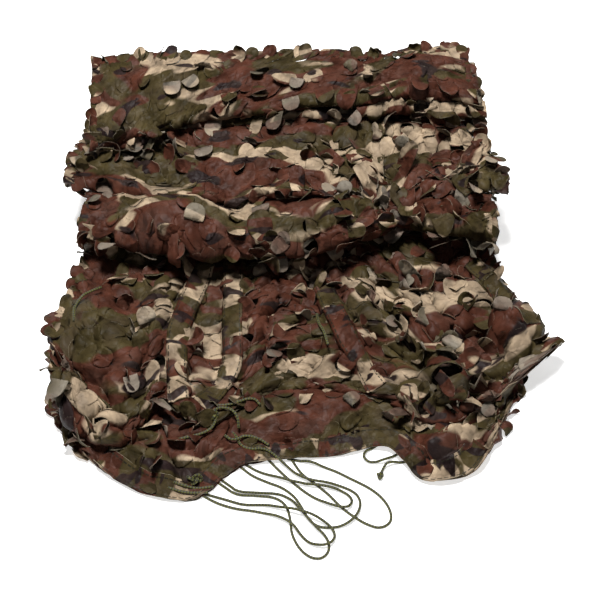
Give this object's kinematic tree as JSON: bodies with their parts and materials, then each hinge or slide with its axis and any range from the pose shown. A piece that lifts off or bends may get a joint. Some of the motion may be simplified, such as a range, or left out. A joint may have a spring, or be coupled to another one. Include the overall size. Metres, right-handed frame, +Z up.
{
  "type": "camouflage net",
  "caption": "Leaf-cut camouflage net folded back and forth into a stepped pile, with printed edge binding and loose braided tie cords in front.",
  "frame": {"origin": "on the floor, under the middle of the box round the net and its binding, cords left out", "axes": "+X to the net's right as seen from the side where its cords lie, +Y to its back, +Z up"},
  "size_m": [0.6222, 0.6974, 0.1539],
  "materials": {
    "net": "thin coated polyester cloth in a four-colour woodland print, leaves die-cut and curled, slight sheen",
    "binding": "printed woven tape with a stitch line, matt",
    "cord": "braided olive and black cord, satin"
  },
  "bodies": {
    "root": {"net_cloth": "net", "binding_front": "binding", "binding_strap_left": "binding", "binding_strap_outer": "binding", "binding_strap_middle": "binding", "binding_strap_right": "binding", "cord_outer_loop": "cord", "cord_inner_loop": "cord", "cord_arched_loop": "cord", "cord_far_loop": "cord", "cord_low_loop": "cord", "cord_right_loop": "cord", "cord_right_tail": "cord", "cord_middle_tie": "cord", "cord_left_side": "cord", "cord_knot_upper": "cord", "cord_knot_front": "cord"}
  },
  "joints": []
}
